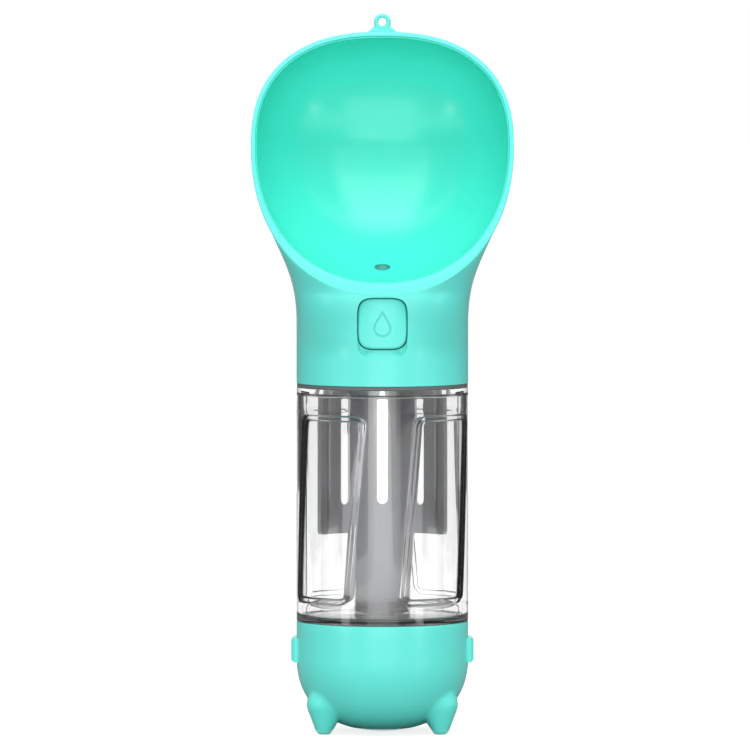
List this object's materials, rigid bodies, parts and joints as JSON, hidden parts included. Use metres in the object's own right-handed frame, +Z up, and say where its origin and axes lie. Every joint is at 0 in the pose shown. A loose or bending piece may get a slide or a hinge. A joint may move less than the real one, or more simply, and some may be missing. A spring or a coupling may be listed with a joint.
{
  "type": "dog travel water bottle",
  "caption": "Dog travel water bottle: a tilted drinking bowl with a push-button valve on a clear tank, over a base with ear-shaped feet, a bag roll and a slotted scoop.",
  "frame": {"origin": "on the bottle's axis, at the level of the feet", "axes": "+Z up along the bottle, -Y towards the side that the bowl and the button face, +X to their right"},
  "size_m": [0.104, 0.0703, 0.2861],
  "materials": {
    "teal_plastic": "smooth gloss",
    "bowl_plastic": "smooth satin",
    "clear_plastic": "clear moulded plastic",
    "dark_plastic": "smooth satin",
    "seal_rubber": "matte",
    "inner_plastic": "moulded",
    "core_board": "plain",
    "bag_film": "thin film",
    "screw_steel": "bright",
    "spring_steel": "drawn"
  },
  "bodies": {
    "base": {"base_cup": "teal_plastic", "bag_holder": "inner_plastic", "bag_spindle": "inner_plastic", "holder_screws": "screw_steel", "scoop": "dark_plastic", "scoop_screws": "screw_steel", "release_spring_left": "spring_steel", "release_spring_right": "spring_steel"},
    "bag_spool": {"bag_core": "core_board", "bag_roll": "bag_film"},
    "release_left": {"release_button_left": "teal_plastic"},
    "release_right": {"release_button_right": "teal_plastic"},
    "tank": {"tank": "clear_plastic"},
    "gasket": {"rim_gasket": "seal_rubber"},
    "head": {"head_shell": "teal_plastic", "bowl_liner": "bowl_plastic", "valve_body": "inner_plastic", "valve_cap": "inner_plastic", "cap_oring": "seal_rubber", "spout_seal": "seal_rubber", "strainer": "inner_plastic", "valve_screws": "screw_steel", "neck_seal": "seal_rubber", "stem_oring": "seal_rubber", "button_spring": "spring_steel"},
    "water_button": {"water_button": "teal_plastic", "valve_stem": "inner_plastic", "valve_seal": "seal_rubber"}
  },
  "joints": [
    {"name": "bag_spin", "type": "hinge", "parent": "base", "child": "bag_spool", "pos_m": [0, 0, 0.0224], "axis": [0, 1, 0], "continuous": true},
    {"name": "release_left_press", "type": "slide", "parent": "base", "child": "release_left", "axis": [1, 0, 0], "range_m": [0, 0.0024], "stiffness_N_per_m": 500, "springref_m": -0.001, "deforming": ["release_spring_left"]},
    {"name": "release_right_press", "type": "slide", "parent": "base", "child": "release_right", "axis": [-1, 0, 0], "range_m": [0, 0.0024], "stiffness_N_per_m": 500, "springref_m": -0.001, "deforming": ["release_spring_right"]},
    {"name": "base_release", "type": "slide", "parent": "base", "child": "tank", "axis": [0, 0, 1], "range_m": [0, 0.11]},
    {"name": "head_climb", "type": "slide", "parent": "tank", "child": "gasket", "axis": [0, 0, 1], "range_m": [0, 0.0097]},
    {"name": "head_turn", "type": "hinge", "parent": "gasket", "child": "head", "pos_m": [0, 0, 0.15], "axis": [0, 0, 1], "range_deg": [0, 1080]},
    {"name": "water_press", "type": "slide", "parent": "head", "child": "water_button", "axis": [0, 1, 0], "range_m": [0, 0.003], "stiffness_N_per_m": 400, "springref_m": -0.002, "deforming": ["button_spring"]}
  ],
  "couplings": [
    {"joint": "head_climb", "follows": "head_turn", "m_per_rad": 0.0005093}
  ]
}
